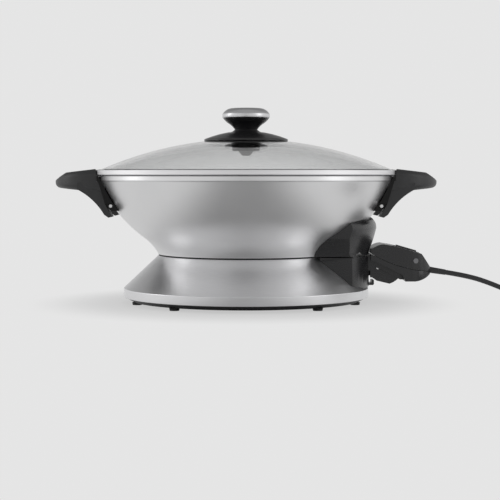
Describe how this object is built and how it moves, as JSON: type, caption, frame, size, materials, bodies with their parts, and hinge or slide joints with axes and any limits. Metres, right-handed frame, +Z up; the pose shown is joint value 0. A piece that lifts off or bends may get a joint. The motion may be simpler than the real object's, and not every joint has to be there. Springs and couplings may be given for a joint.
{
  "type": "electric wok",
  "caption": "Electric wok: a flared bowl with loop handles on a conical base, a domed glass lid with a knob, and a plug-in heat control with a dial and cord.",
  "frame": {"origin": "on the floor under the bowl's axis, at the level of the feet's undersides", "axes": "+Z up; +X from the axis through the right handle and the heat control; +Y to the back"},
  "size_m": [0.6257, 0.362, 0.2336],
  "materials": {
    "skirt_steel": "brushed",
    "inner_steel": "plain",
    "dark_pan": "matt black paint",
    "foot_rubber": "moulded",
    "screw_steel": "bright",
    "bowl_cast": "satin",
    "bracket_paint": "gloss black paint",
    "element_steel": "heat darkened",
    "block_ceramic": "unglazed",
    "contact_metal": "plated",
    "socket_plastic": "fine grain",
    "handle_plastic": "fine grain",
    "lid_glass": "clear",
    "lid_steel": "polished",
    "knob_plastic": "satin",
    "knob_steel": "satin",
    "washer_silicone": "moulded",
    "control_plastic": "fine grain",
    "sensor_steel": "bright",
    "lens_plastic": "clear",
    "dial_plastic": "satin",
    "cord_rubber": "smooth"
  },
  "bodies": {
    "base": {"base_skirt": "skirt_steel", "heat_shield": "inner_steel", "base_pan": "dark_pan", "feet": "foot_rubber", "base_posts": "inner_steel", "base_screws": "screw_steel", "socket_trough": "socket_plastic"},
    "bowl": {"bowl": "bowl_cast", "heating_element": "element_steel", "sensor_well": "element_steel", "terminal_block": "block_ceramic", "terminal_pins": "contact_metal", "socket_hood": "socket_plastic", "handle_right": "handle_plastic", "handle_left": "handle_plastic", "handle_bracket_right": "bracket_paint", "handle_bracket_left": "bracket_paint", "handle_screws": "screw_steel"},
    "lid": {"lid_glass": "lid_glass", "lid_rim": "lid_steel", "knob_flange": "knob_plastic", "knob_stem": "knob_plastic", "knob_cap": "knob_steel", "knob_boss": "knob_plastic", "knob_washer": "washer_silicone", "knob_disc": "knob_plastic", "knob_screw": "knob_steel"},
    "heat_control": {"probe_upper_shell": "control_plastic", "probe_lower_shell": "control_plastic", "probe_nose": "control_plastic", "contact_sleeves": "contact_metal", "sensor_rod": "sensor_steel", "thermostat_switch": "sensor_steel", "indicator_lens": "lens_plastic", "probe_screws": "screw_steel", "trigger_pin": "screw_steel", "strain_relief": "cord_rubber", "cord": "cord_rubber", "cord_coil": "cord_rubber", "plug_relief": "cord_rubber", "plug_body": "cord_rubber", "plug_blades": "contact_metal"},
    "dial": {"dial": "dial_plastic", "dial_shaft": "sensor_steel"},
    "trigger": {"trigger": "control_plastic"}
  },
  "joints": [
    {"name": "bowl_lift", "type": "slide", "parent": "base", "child": "bowl", "axis": [0, 0, 1], "range_m": [0, 0.08]},
    {"name": "lid_lift", "type": "slide", "parent": "bowl", "child": "lid", "axis": [0, 0, 1], "range_m": [0, 0.12]},
    {"name": "control_unplug", "type": "slide", "parent": "bowl", "child": "heat_control", "axis": [1, 0, 0], "range_m": [0, 0.075]},
    {"name": "dial_turn", "type": "hinge", "parent": "heat_control", "child": "dial", "pos_m": [0.19211, 0, 0.06415], "axis": [0.2773, 0, 0.9608], "range_deg": [0, 270]},
    {"name": "trigger_squeeze", "type": "hinge", "parent": "heat_control", "child": "trigger", "pos_m": [0.1572, 0, 0.04226], "axis": [0, -1, 0], "range_deg": [0, 8], "stiffness_Nm_per_rad": 0.3}
  ]
}
